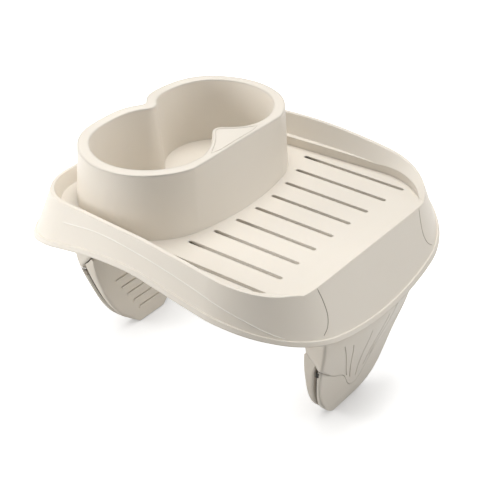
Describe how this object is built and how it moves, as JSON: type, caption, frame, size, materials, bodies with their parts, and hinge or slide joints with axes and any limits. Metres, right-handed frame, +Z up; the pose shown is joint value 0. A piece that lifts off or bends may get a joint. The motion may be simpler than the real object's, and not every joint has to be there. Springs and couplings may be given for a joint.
{
  "type": "hot tub tray",
  "caption": "Moulded side tray with a twin cup-well bowl and a slotted dished floor, carried on two claw legs that grip the wall of a portable tub.",
  "frame": {"origin": "on the ground under the middle of the tray, at the middle of its length and width", "axes": "+Z up, +X from the cup bowl towards the plain front edge, +Y to the side; the object is the same on both sides of Y = 0"},
  "size_m": [0.2402, 0.2256, 0.1751],
  "materials": {
    "tray": "satin moulded plastic, warm off-white",
    "arm": "satin moulded plastic, warm off-white",
    "shoe": "satin moulded plastic, warm off-white",
    "pad": "soft-touch grip plastic, warm off-white"
  },
  "bodies": {
    "root": {"tray": "tray", "front_arm": "arm", "front_shoe": "shoe", "front_pad": "pad", "back_arm": "arm", "back_shoe": "shoe", "back_pad": "pad"}
  },
  "joints": []
}
